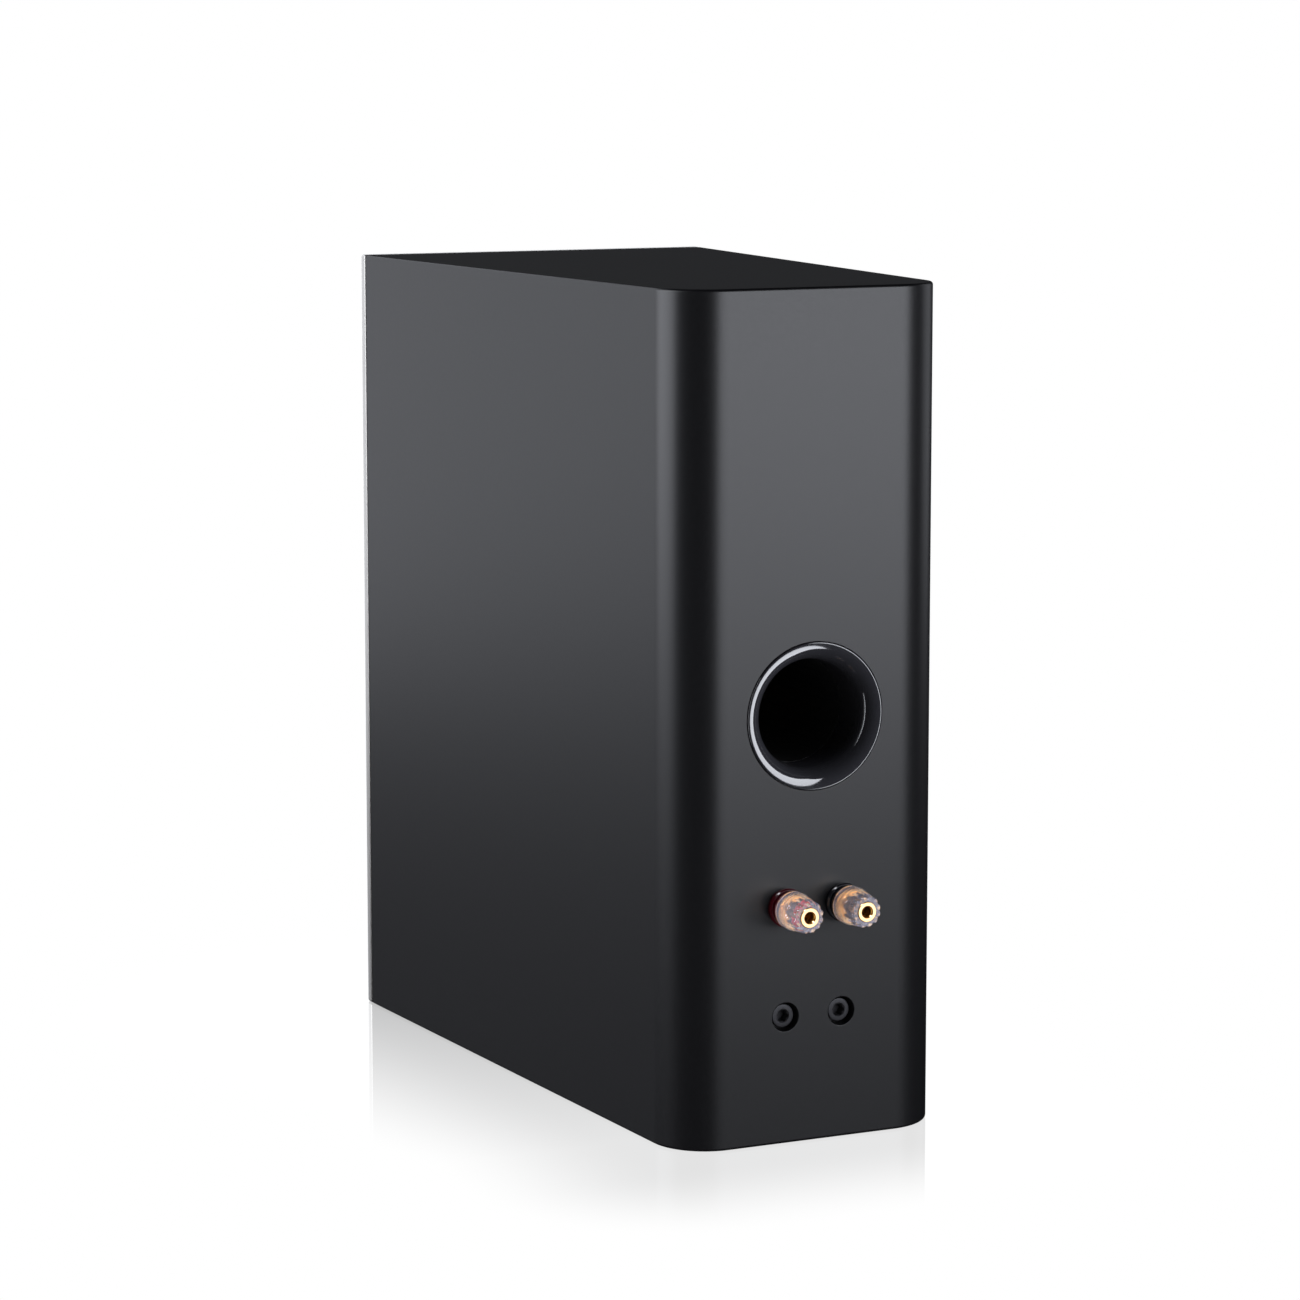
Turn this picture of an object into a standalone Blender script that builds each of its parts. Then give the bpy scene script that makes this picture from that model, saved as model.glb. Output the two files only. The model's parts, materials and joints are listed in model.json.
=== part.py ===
"""Bookshelf speaker: a tapered cabinet on a metal front plate, two drive units, a rear port.

Metres, +Z up. The front looks along -Y and the rear panel along +Y. The origin is the
bottom centre of the whole object's box, which runs from the front plate to the tips of
the binding posts. Lengths below are written in millimetres times MM.
"""

import math

import bmesh
import bpy
from mathutils import Matrix

MM = 0.001
GAP = 0.3 * MM                      # clearance between pieces that touch on the real object

# Cabinet: the driving dimensions
HEIGHT = 360 * MM
FRONT_WIDTH = 174 * MM
REAR_WIDTH = 123.5 * MM             # where the side planes would meet the rear plane
CABINET_DEPTH = 297.8 * MM
CORNER_RADIUS = 24.4 * MM
WALL = 16 * MM
REAR_THICKNESS = 19 * MM
BAFFLE_THICKNESS = 18 * MM
SHADOW_GAP = 1.2 * MM
PLATE_THICKNESS = 5.3 * MM
BRACE_DEPTH = 120 * MM              # behind the cabinet's front edge

# Rear panel fittings
PORT_HEIGHT = 181.4 * MM
PORT_LIP_RADIUS = 31.1 * MM
PORT_BORE_RADIUS = 23 * MM
PORT_LENGTH = 138 * MM
POST_HEIGHT = 101.6 * MM
POST_SPACING = 26.6 * MM
POST_LENGTH = 22.8 * MM             # rear panel to the tip of the knob
BOLT_HEIGHT = 54.5 * MM
BOLT_SPACING = 26.2 * MM            # two M6 screws
BOLT_RECESS_RADIUS = 6.35 * MM
BOLT_RECESS_DEPTH = 8.8 * MM
SHANK_HOLE = 3.3 * MM               # clears an M6 thread
POST_HOLE = 5 * MM

# Front drive units
WOOFER_HEIGHT = 128 * MM
WOOFER_FRAME_RADIUS = 66 * MM
WOOFER_CUTOUT = 57.3 * MM
WOOFER_OPENING = 55.5 * MM
WOOFER_SCREW_CIRCLE = 61.6 * MM
TWEETER_HEIGHT = 262 * MM
TWEETER_FRAME_RADIUS = 50 * MM
TWEETER_CUTOUT = 37 * MM
TWEETER_OPENING = 42.5 * MM
TWEETER_SCREW_CIRCLE = 46.4 * MM
FLANGE_REBATE = 5.3 * MM

TOTAL_DEPTH = PLATE_THICKNESS + SHADOW_GAP + CABINET_DEPTH + POST_LENGTH
FRONT_Y = -TOTAL_DEPTH / 2
SEAM_Y = FRONT_Y + PLATE_THICKNESS + SHADOW_GAP
REAR_Y = SEAM_Y + CABINET_DEPTH
TAPER = math.atan((FRONT_WIDTH - REAR_WIDTH) / 2 / CABINET_DEPTH)
FLOOR_Z = WALL + GAP                # inside faces of the bottom and top panels, less a gap
CEILING_Z = HEIGHT - WALL - GAP


# ---------------------------------------------------------------- tools

def clear_scene():
    for item in list(bpy.data.objects):
        bpy.data.objects.remove(item, do_unlink=True)


def finish(name, colour, roughness, metallic=0.0, transmission=0.0):
    """A Principled material, made once for each name."""
    material = bpy.data.materials.get(name)
    if material is None:
        material = bpy.data.materials.new(name)
        material.use_nodes = True
        shader = material.node_tree.nodes["Principled BSDF"]
        shader.inputs["Base Color"].default_value = (*colour, 1.0)
        shader.inputs["Roughness"].default_value = roughness
        shader.inputs["Metallic"].default_value = metallic
        shader.inputs["Transmission Weight"].default_value = transmission
    return material


SATIN_BLACK = finish("satin_black_lacquer", (0.018, 0.018, 0.020), 0.42)
GLOSS_BLACK = finish("gloss_black_plastic", (0.010, 0.010, 0.011), 0.10)
MATT_BLACK = finish("matt_black_plastic", (0.020, 0.020, 0.020), 0.60)
BLACK_STEEL = finish("black_oxide_steel", (0.050, 0.050, 0.052), 0.45, 1.0)
FIBREBOARD = finish("fibreboard", (0.42, 0.30, 0.19), 0.85)
SILVER = finish("satin_aluminium", (0.80, 0.80, 0.81), 0.30, 1.0)
GOLD = finish("gold_plated_brass", (0.83, 0.60, 0.26), 0.18, 1.0)
CLEAR = finish("clear_plastic", (0.92, 0.90, 0.95), 0.06, 0.0, 0.9)
RED = finish("red_plastic", (0.40, 0.01, 0.01), 0.20)
BLACK = finish("black_plastic", (0.012, 0.012, 0.012), 0.20)
RUBBER = finish("black_rubber", (0.015, 0.015, 0.015), 0.55)
CONE_FINISH = finish("coated_cone", (0.060, 0.060, 0.062), 0.45)
CLOTH = finish("treated_cloth", (0.60, 0.42, 0.20), 0.90)
DOME_FINISH = finish("aluminium_dome", (0.75, 0.75, 0.77), 0.25, 1.0)
STEEL = finish("zinc_plated_steel", (0.62, 0.62, 0.63), 0.35, 1.0)
FERRITE = finish("ferrite", (0.05, 0.05, 0.05), 0.60)
COPPER = finish("enamelled_copper", (0.72, 0.32, 0.16), 0.30, 1.0)
FELT = finish("polyester_felt", (0.65, 0.65, 0.62), 0.95)
BOARD = finish("circuit_board", (0.05, 0.16, 0.07), 0.50)
FILM = finish("capacitor_film", (0.55, 0.45, 0.10), 0.35)
CERAMIC = finish("cement_resistor", (0.80, 0.78, 0.72), 0.80)
BLACK_WIRE = finish("black_insulation", (0.02, 0.02, 0.02), 0.50)
RED_WIRE = finish("red_insulation", (0.45, 0.02, 0.02), 0.50)


def axis_empty(name, x, y, z):
    """An empty on the axis that a group of turned pieces shares."""
    empty = bpy.data.objects.new(name, None)
    empty.location = (x, y, z)
    bpy.context.collection.objects.link(empty)
    return empty


def add_object(name, bm, material, parent=None, smooth=True):
    """Turn a finished bmesh into a named object with its faces pointing out."""
    bmesh.ops.recalc_face_normals(bm, faces=bm.faces)
    mesh = bpy.data.meshes.new(name)
    bm.to_mesh(mesh)
    bm.free()
    if smooth:
        mesh.shade_smooth()
        mesh.set_sharp_from_angle(angle=math.radians(32))
    mesh.materials.append(material)
    item = bpy.data.objects.new(name, mesh)
    item.parent = parent
    bpy.context.collection.objects.link(item)
    return item


def prism(points, low, high, upright=True):
    """Extrude a plan outline from z low to high or, not upright, an (x, z) outline along Y."""
    bm = bmesh.new()
    rings = []
    for level in (low, high):
        if upright:
            rings.append([bm.verts.new((x, y, level)) for x, y in points])
        else:
            rings.append([bm.verts.new((x, level, z)) for x, z in points])
    bm.faces.new(rings[0])
    bm.faces.new(rings[1][::-1])
    count = len(points)
    for i in range(count):
        j = (i + 1) % count
        bm.faces.new((rings[0][i], rings[0][j], rings[1][j], rings[1][i]))
    return bm


def block(x, y, z):
    """A box from three (low, high) pairs."""
    return prism([(x[0], y[0]), (x[1], y[0]), (x[1], y[1]), (x[0], y[1])], z[0], z[1])


def turned(profile, segments, shape=None):
    """Turn a profile of (radius, y) points about the local Y axis.

    A profile that starts and ends on the axis gives a solid; any other is a closed loop
    and gives a ring. shape(radius, y, angle) may return another radius, for flutes.
    """
    bm = bmesh.new()
    solid = profile[0][0] == 0 and profile[-1][0] == 0
    rings = []
    for radius, y in profile:
        if radius == 0:
            rings.append([bm.verts.new((0, y, 0))])
            continue
        ring = []
        for k in range(segments):
            angle = 2 * math.pi * k / segments
            r = shape(radius, y, angle) if shape else radius
            ring.append(bm.verts.new((r * math.cos(angle), y, r * math.sin(angle))))
        rings.append(ring)
    pairs = list(zip(rings, rings[1:]))
    if not solid:
        pairs.append((rings[-1], rings[0]))
    for first, second in pairs:
        for k in range(segments):
            n = (k + 1) % segments
            corners = [first[k % len(first)], first[n % len(first)],
                       second[n % len(second)], second[k % len(second)]]
            bm.faces.new(list(dict.fromkeys(corners)))
    return bm


def tube_profile(inner, outer, low, high):
    return [(inner, low), (outer, low), (outer, high), (inner, high)]


def arc(centre, radius, start, end, steps):
    """Points (radius, y) on an arc from start to end degrees, end points included."""
    points = []
    for k in range(steps + 1):
        angle = math.radians(start + (end - start) * k / steps)
        points.append((centre[0] + radius * math.cos(angle), centre[1] + radius * math.sin(angle)))
    return points


def thick_line(points, thickness):
    """A closed (radius, y) profile: the line, and the same line moved back along Y."""
    return points + [(radius, y + thickness) for radius, y in reversed(points)]


def cut(target, bm, x=0.0, y=0.0, z=0.0):
    """Subtract a closed bmesh, placed at (x, y, z) in the target's own space."""
    cutter = add_object("cutter_" + target.name, bm, MATT_BLACK, target.parent, smooth=False)
    cutter.location = (x, y, z)
    cutter.hide_render = True
    cutter.display_type = "WIRE"
    modifier = target.modifiers.new("cut", "BOOLEAN")
    modifier.operation = "DIFFERENCE"
    modifier.solver = "EXACT"
    modifier.object = cutter


def drill(target, low, steps, x=0.0, z=0.0, segments=16):
    """Bore a round hole along Y from low, through steps of (radius, y where it ends)."""
    profile = [(0, low)]
    for radius, end in steps:
        profile += [(radius, profile[-1][1]), (radius, end)]
    profile.append((0, profile[-1][1]))
    cut(target, turned(profile, segments), x, 0.0, z)


def circle_places(radius, count, start_degrees):
    """Evenly spaced (x, z) places on a circle."""
    angles = [math.radians(start_degrees + 360 * k / count) for k in range(count)]
    return [(radius * math.cos(a), radius * math.sin(a)) for a in angles]


# ---------------------------------------------------------------- cabinet

def half_width(y):
    """Half the cabinet's outer width at a depth y, on the straight part of the side."""
    return FRONT_WIDTH / 2 - (y - SEAM_Y) * math.tan(TAPER)


def inner_half_width(y):
    return half_width(y) - WALL / math.cos(TAPER)


TURN = math.pi / 2 - TAPER                       # how far the outline turns at a rear corner
TANGENT = CORNER_RADIUS * math.tan(TURN / 2)     # corner point to either end of the arc
CORNER_X = REAR_WIDTH / 2 - TANGENT              # where the rear face becomes flat
CORNER_STEPS = 8


def rear_corner():
    """The +X rear corner's arc, from the side to the rear face."""
    return arc((CORNER_X, REAR_Y - CORNER_RADIUS), CORNER_RADIUS,
               math.degrees(TAPER), 90, CORNER_STEPS)


def build_cabinet():
    side = [(FRONT_WIDTH / 2, SEAM_Y)] + rear_corner()
    plan = side + [(-x, y) for x, y in reversed(side)]
    add_object("bottom_panel", prism(plan, 0, WALL), SATIN_BLACK)
    add_object("top_panel", prism(plan, HEIGHT - WALL, HEIGHT), SATIN_BLACK)

    inside_y = REAR_Y - REAR_THICKNESS
    wall = side + [(CORNER_X, inside_y), (inner_half_width(inside_y), inside_y),
                   (inner_half_width(SEAM_Y), SEAM_Y)]
    mirrored = [(-x, y) for x, y in wall]
    add_object("right_side_panel", prism(mirrored, FLOOR_Z, CEILING_Z), SATIN_BLACK)
    add_object("left_side_panel", prism(wall, FLOOR_Z, CEILING_Z), SATIN_BLACK)

    edge = CORNER_X - GAP
    rear = add_object("rear_panel",
                      block((-edge, edge), (inside_y, REAR_Y), (FLOOR_Z, CEILING_Z)), SATIN_BLACK)
    low = inside_y - MM
    high = REAR_Y + MM
    drill(rear, low, [(27.5 * MM, REAR_Y - 3.3 * MM), (PORT_LIP_RADIUS + GAP, high)],
          z=PORT_HEIGHT, segments=28)
    for sign in (-1, 1):
        drill(rear, low, [(POST_HOLE, high)], sign * POST_SPACING / 2, POST_HEIGHT)
        drill(rear, low, [(4.8 * MM, REAR_Y - BOLT_RECESS_DEPTH), (BOLT_RECESS_RADIUS, high)],
              sign * BOLT_SPACING / 2, BOLT_HEIGHT, 20)


def cross_slab(name, front, back, material):
    """A board across the inside of the cabinet that follows its taper."""
    plan = [(-inner_half_width(front) + GAP, front), (inner_half_width(front) - GAP, front),
            (inner_half_width(back) - GAP, back), (-inner_half_width(back) + GAP, back)]
    return add_object(name, prism(plan, FLOOR_Z, CEILING_Z), material)


def build_baffle():
    back = SEAM_Y + BAFFLE_THICKNESS
    baffle = cross_slab("inner_baffle", SEAM_Y, back, FIBREBOARD)
    units = ((WOOFER_FRAME_RADIUS, WOOFER_CUTOUT, WOOFER_HEIGHT),
             (TWEETER_FRAME_RADIUS, TWEETER_CUTOUT, TWEETER_HEIGHT))
    for frame_radius, cutout, height in units:
        drill(baffle, SEAM_Y - MM, [(frame_radius + GAP, SEAM_Y + FLANGE_REBATE), (cutout, back + MM)],
              z=height, segments=28)
    for x, z in circle_places(WOOFER_SCREW_CIRCLE, 4, 45):
        drill(baffle, SEAM_Y + 4 * MM, [(2.3 * MM, back + MM)], x, WOOFER_HEIGHT + z, 8)
    for x, z in circle_places(TWEETER_SCREW_CIRCLE, 3, 90):
        drill(baffle, SEAM_Y + 4 * MM, [(1.9 * MM, back + MM)], x, TWEETER_HEIGHT + z, 8)


def build_brace():
    front = SEAM_Y + BRACE_DEPTH
    back = front + WALL
    brace = cross_slab("window_brace", front, back, FIBREBOARD)
    for low, high in ((48 * MM, 168 * MM), (192 * MM, 312 * MM)):
        cut(brace, block((-40 * MM, 40 * MM), (front - MM, back + MM), (low, high)))


def build_front():
    """The metal plate and the foam frame that seats it in the shadow gap."""
    half = FRONT_WIDTH / 2
    outline = [(-half, 0), (half, 0), (half, HEIGHT), (-half, HEIGHT)]
    bm = prism(outline, FRONT_Y, FRONT_Y + PLATE_THICKNESS, upright=False)
    rim = [edge for edge in bm.edges if all(abs(v.co.y - FRONT_Y) < 1e-6 for v in edge.verts)]
    bmesh.ops.bevel(bm, geom=rim, offset=1.4 * MM, segments=3, profile=0.5, affect="EDGES")
    plate = add_object("front_plate", bm, SILVER)
    back = FRONT_Y + PLATE_THICKNESS
    drill(plate, FRONT_Y - MM, [(WOOFER_OPENING, back + MM)], z=WOOFER_HEIGHT, segments=48)
    drill(plate, FRONT_Y - MM, [(TWEETER_OPENING, back + MM)], z=TWEETER_HEIGHT, segments=48)

    inset = 2.2 * MM
    outline = [(-half + inset, inset), (half - inset, inset),
               (half - inset, HEIGHT - inset), (-half + inset, HEIGHT - inset)]
    gasket = add_object("plate_gasket", prism(outline, back + GAP, SEAM_Y - GAP, upright=False), RUBBER)
    drill(gasket, back, [(69 * MM, SEAM_Y)], z=WOOFER_HEIGHT, segments=24)
    drill(gasket, back, [(52 * MM, SEAM_Y)], z=TWEETER_HEIGHT, segments=24)


def build_lining():
    """Felt over the side walls and the top, from the brace to the rear panel."""
    thickness = 12 * MM
    front = SEAM_Y + BRACE_DEPTH + WALL + 2 * MM
    back = REAR_Y - REAR_THICKNESS - 2 * MM
    low = 60 * MM
    top = CEILING_Z - GAP
    bm = bmesh.new()
    sections = []
    for y in (front, back):
        out = inner_half_width(y) - GAP
        inner = out - thickness
        points = [(-out, low), (-inner, low), (-inner, top - thickness), (inner, top - thickness),
                  (inner, low), (out, low), (out, top), (-out, top)]
        sections.append([bm.verts.new((x, y, z)) for x, z in points])
    bm.faces.new(sections[0])
    bm.faces.new(sections[1][::-1])
    for i in range(8):
        j = (i + 1) % 8
        bm.faces.new((sections[0][i], sections[0][j], sections[1][j], sections[1][i]))
    add_object("damping_lining", bm, FELT)


# ---------------------------------------------------------------- port

def build_port():
    axis = axis_empty("port_axis", 0, REAR_Y, PORT_HEIGHT)
    flare = arc((PORT_BORE_RADIUS + 7.4 * MM, -9.4 * MM), 7.4 * MM, 90, 180, 5)
    flare = [(radius, -9.4 * MM + (y + 9.4 * MM) * 10 / 7.4) for radius, y in flare]
    collar_end = -22 * MM
    lip = [(PORT_LIP_RADIUS, -3 * MM), (PORT_LIP_RADIUS, -0.2 * MM), (PORT_LIP_RADIUS - 0.6 * MM, 0.5 * MM)]
    profile = lip + flare + [(PORT_BORE_RADIUS, collar_end),
                             (27 * MM, collar_end), (27 * MM, -3 * MM)]
    add_object("port_flange", turned(profile, 32), GLOSS_BLACK, axis)

    wall = 2.2 * MM
    start = collar_end - GAP
    end = -PORT_LENGTH
    mouth = 6 * MM
    profile = [(PORT_BORE_RADIUS, start), (PORT_BORE_RADIUS + wall, start),
               (PORT_BORE_RADIUS + wall, end + 10 * MM), (PORT_BORE_RADIUS + mouth, end),
               (PORT_BORE_RADIUS + mouth - wall, end), (PORT_BORE_RADIUS, end + 9 * MM)]
    add_object("port_tube", turned(profile, 32), MATT_BLACK, axis)


# ---------------------------------------------------------------- woofer

def build_woofer():
    """Depths are measured back from the cabinet's front edge."""
    axis = axis_empty("woofer_axis", 0, SEAM_Y, WOOFER_HEIGHT)
    basket_profile = [(66, 0.3), (66, 5), (56.9, 5), (56.9, 9), (43.5, 38), (43.5, 43), (48, 43),
                      (48, 47), (20, 47), (20, 44), (34.6, 44), (34.6, 37), (37.5, 37), (53, 9),
                      (54, 6), (54, 0.3)]
    basket_profile = [(r * MM, y * MM) for r, y in basket_profile]
    basket = add_object("woofer_basket", turned(basket_profile, 28), MATT_BLACK, axis)
    for x, z in circle_places(47 * MM, 4, 0):
        window = block((-11 * MM, 11 * MM), (12 * MM, 34 * MM), (-18 * MM, 18 * MM))
        angle = math.atan2(z, x)
        bmesh.ops.rotate(window, cent=(0, 0, 0), verts=window.verts,
                         matrix=rotation_about_y(angle))
        cut(basket, window, x, 0, z)
    for number, (x, z) in enumerate(circle_places(WOOFER_SCREW_CIRCLE, 4, 45), 1):
        drill(basket, -MM, [(4.1 * MM, 3.2 * MM), (2.3 * MM, 6 * MM)], x, z, 12)
        screw(f"woofer_screw_{number}", axis, x, z, head_radius=3.7 * MM, head_front=0.4 * MM,
              head_back=2.9 * MM, shank_radius=1.9 * MM, tip=17 * MM)

    roll = arc((49.6 * MM, -0.6 * MM), 4.2 * MM, 0, -180, 5)
    skin = [(57 * MM, -0.6 * MM)] + roll + [(42.8 * MM, -0.2 * MM)]
    add_object("woofer_surround", turned(thick_line(skin, 0.8 * MM), 28), RUBBER, axis)

    body = [(45.2, 1.0), (42.6, 1.0), (29, 16.0), (14.2, 28.4)]
    body = [(r * MM, y * MM) for r, y in body]
    add_object("woofer_cone", turned(thick_line(body, 1.3 * MM), 28), CONE_FINISH, axis)

    cap_radius = 17.5 * MM
    cap = [(cap_radius * math.sin(a), 24.2 * MM - 6 * MM * math.cos(a))
           for a in (math.pi / 2 * k / 4 for k in range(5))]
    cap_back = [(0.93 * r, y + 0.9 * MM) for r, y in reversed(cap)]
    add_object("woofer_dust_cap", turned(cap + cap_back, 20), CONE_FINISH, axis)

    add_object("woofer_voice_coil",
               turned(tube_profile(12.6 * MM, 13.6 * MM, 26 * MM, 57 * MM), 24), COPPER, axis)

    steps = 6
    inner, outer = 14.1 * MM, 37 * MM
    wave = []
    for k in range(steps + 1):
        radius = outer + (inner - outer) * k / steps
        ripple = 0 if k in (0, steps) else 1.1 * MM * (-1) ** k
        wave.append((radius, 35.6 * MM + ripple))
    add_object("woofer_spider", turned(thick_line(wave, 0.7 * MM), 20), CLOTH, axis)

    add_object("woofer_top_plate",
               turned(tube_profile(14 * MM, 40 * MM, 47.3 * MM, 53.3 * MM), 24), STEEL, axis)
    add_object("woofer_magnet",
               turned(tube_profile(20 * MM, 43 * MM, 53.6 * MM, 68.6 * MM), 24), FERRITE, axis)
    pole = [(0, 47.3), (12.2, 47.3), (12.2, 68.9), (41, 68.9), (41, 74.9), (0, 74.9)]
    add_object("woofer_pole_piece", turned([(r * MM, y * MM) for r, y in pole], 24), STEEL, axis)


def rotation_about_y(angle):
    """Turns +X towards +Z by angle."""
    return Matrix.Rotation(-angle, 3, "Y")


def screw(name, axis, x, z, head_radius, head_front, head_back, shank_radius, tip):
    """A countersunk-in-place pan head screw pointing along +Y."""
    profile = [(0, head_front), (head_radius, head_front), (head_radius, head_back),
               (shank_radius, head_back), (shank_radius, tip - shank_radius), (0, tip)]
    item = add_object(name, turned(profile, 10), BLACK_STEEL, axis)
    item.location = (x, 0, z)


# ---------------------------------------------------------------- tweeter

def build_tweeter():
    axis = axis_empty("tweeter_axis", 0, SEAM_Y, TWEETER_HEIGHT)
    guide = [(41.5, 0.3), (31, 1.9), (21, 4.9), (14.4, 8.1)]
    profile = [(r * MM, y * MM) for r, y in guide]
    profile += [(r * MM, y * MM) for r, y in
                ((14.4, 8.5), (17.4, 8.5), (17.4, 10.3), (36, 10.3), (36, 5), (50, 5), (50, 0.3))]
    faceplate = add_object("tweeter_faceplate", turned(profile, 28), MATT_BLACK, axis)
    for number, (x, z) in enumerate(circle_places(TWEETER_SCREW_CIRCLE, 3, 90), 1):
        drill(faceplate, -MM, [(3.1 * MM, 2.8 * MM), (1.9 * MM, 6 * MM)], x, z, 12)
        screw(f"tweeter_screw_{number}", axis, x, z, head_radius=2.8 * MM, head_front=0.4 * MM,
              head_back=2.5 * MM, shank_radius=1.5 * MM, tip=16 * MM)

    skin = [(12.9 * MM * math.sin(a), 10.0 * MM - 6 * MM * math.cos(a))
            for a in (math.pi / 2 * k / 4 for k in range(5))]
    roll = [(r * MM, y * MM) for r, y in ((13.4, 9.8), (14.6, 9.3), (15.9, 9.6), (16.8, 9.6))]
    back = [(r, y + 0.45 * MM) for r, y in reversed(roll)]
    back += [(0.96 * r, y + 0.5 * MM) for r, y in reversed(skin)]
    dome = [(r, y - 0.1 * MM) for r, y in skin + roll + back]
    add_object("tweeter_dome", turned(dome, 20), DOME_FINISH, axis)

    coil = tube_profile(12.9 * MM, 13.5 * MM, 10.7 * MM, 15.2 * MM)
    add_object("tweeter_voice_coil", turned(coil, 20), COPPER, axis)
    tip = [(0, 11.3), (12.5, 11.3), (12.5, 14.3), (0, 14.3)]
    add_object("tweeter_pole_tip", turned([(r * MM, y * MM) for r, y in tip], 20), STEEL, axis)
    magnet = [(0, 14.6), (11.5, 14.6), (11.5, 20.6), (0, 20.6)]
    add_object("tweeter_magnet", turned([(r * MM, y * MM) for r, y in magnet], 20), STEEL, axis)
    pot = [(0, 20.9), (14.2, 20.9), (14.2, 10.6), (33, 10.6), (33, 13), (20, 13), (20, 25), (0, 25)]
    add_object("tweeter_pot", turned([(r * MM, y * MM) for r, y in pot], 20), STEEL, axis)


# ---------------------------------------------------------------- rear fittings

def build_terminal(side, x, colour):
    """One binding post; y is measured out from the rear face."""
    axis = axis_empty(side + "_terminal_axis", x, REAR_Y, POST_HEIGHT)
    base = [(3.3, -6), (4.7, -6), (4.7, 0.3), (8.2, 0.3), (8.3, 2.4), (7.7, 3.0), (3.3, 3.0)]
    add_object(side + "_terminal_base", turned([(r * MM, y * MM) for r, y in base], 20), colour, axis)

    stem = [(0, -31), (3, -31), (3, 3.3), (5.5, 3.3), (5.5, 4.1), (3, 4.1), (3, 18.2), (2.05, 18.2),
            (2.05, -1.2), (0, -1.2)]
    stem_object = add_object(side + "_terminal_stem",
                             turned([(r * MM, y * MM) for r, y in stem], 16), GOLD, axis)
    wire_hole = [(0, -4), (1.2, -4), (1.2, 4), (0, 4)]
    hole = turned([(r * MM, y * MM) for r, y in wire_hole], 10)
    cut(stem_object, quarter_turned(hole), 0, 5.6 * MM, 0)

    ring = [(3.3, 4.7), (7.9, 4.7), (7.9, 6.3), (7.6, 6.6), (3.3, 6.6)]
    add_object(side + "_terminal_clamp_ring", turned([(r * MM, y * MM) for r, y in ring], 20), colour, axis)

    core = [(3.3, 7.2), (6.6, 7.2), (6.6, 10.3), (4.9, 10.3), (4.6, 16), (4.6, 22.4), (4.2, 22.8),
            (2.7, 22.8), (2.2, 22.1), (2.2, 19.2), (3.3, 19.2)]
    add_object(side + "_terminal_knob_core", turned([(r * MM, y * MM) for r, y in core], 18), GOLD, axis)

    marker = tube_profile(5.3 * MM, 5.9 * MM, 16.8 * MM, 18.6 * MM)
    add_object(side + "_terminal_marker_ring", turned(marker, 16), colour, axis)

    outside = [(8.1, 6.9), (8.1, 10.6), (7.5, 15.0), (6.75, 21.6), (6.3, 22.3)]
    inside = [(4.95, 22.3), (4.95, 19.0), (6.25, 18.9), (6.25, 16.5), (5.25, 16.3), (5.25, 10.7),
              (6.95, 10.6), (6.95, 6.9)]
    profile = [(r * MM, y * MM) for r, y in outside + inside]
    add_object(side + "_terminal_knob", turned(profile, 24, flute), CLEAR, axis)

    nut = turned(tube_profile(SHANK_HOLE, 5.77 * MM, -24.3 * MM, -19.3 * MM), 18, hexagon)
    add_object(side + "_terminal_nut", nut, GOLD, axis, smooth=False)


def flute(radius, y, angle):
    """Twelve grip flutes that deepen towards the knob's tip, on its outside only."""
    if radius < 6.3 * MM or y < 12 * MM:
        return radius
    depth = 0.45 * MM * min(1, (y - 12 * MM) / (6 * MM))
    return radius - depth * (0.5 - 0.5 * math.cos(12 * angle))


def hexagon(radius, y, angle):
    """Makes the outside of a nut six-sided and leaves its hole round."""
    if radius < 4 * MM:
        return radius
    within = (angle + math.pi / 6) % (math.pi / 3) - math.pi / 6
    return radius * math.cos(math.pi / 6) / math.cos(math.pi / 6 - abs(within))


def quarter_turned(bm):
    """Turn a Y-axis shape so that its axis is X."""
    bmesh.ops.rotate(bm, cent=(0, 0, 0), verts=bm.verts, matrix=Matrix.Rotation(math.pi / 2, 3, "Z"))
    return bm


def build_bolt(side, x):
    """A socket head screw in its counterbore, in a threaded bush."""
    axis = axis_empty(side + "_bolt_axis", x, REAR_Y, BOLT_HEIGHT)
    profile = [(0, -20), (2.6, -20), (3, -19.4), (3, -8.5), (5, -8.5), (5, -2.8), (4.7, -2.5), (0, -2.5)]
    bolt = add_object(side + "_mounting_bolt",
                      turned([(r * MM, y * MM) for r, y in profile], 20), BLACK_STEEL, axis)
    socket = [(0, -5.5), (2.887, -5.5), (2.887, -1), (0, -1)]
    cut(bolt, turned([(r * MM, y * MM) for r, y in socket], 6))
    bush = tube_profile(SHANK_HOLE, 4.5 * MM, -18.9 * MM, -9.1 * MM)
    add_object(side + "_threaded_bush", turned(bush, 16), STEEL, axis)


# ---------------------------------------------------------------- crossover and leads

BOARD_FRONT = SEAM_Y + 150 * MM
BOARD_TOP = FLOOR_Z + 2 * MM
LEAD_STEPS = 3                      # points on a lead for each stretch of its route


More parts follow.
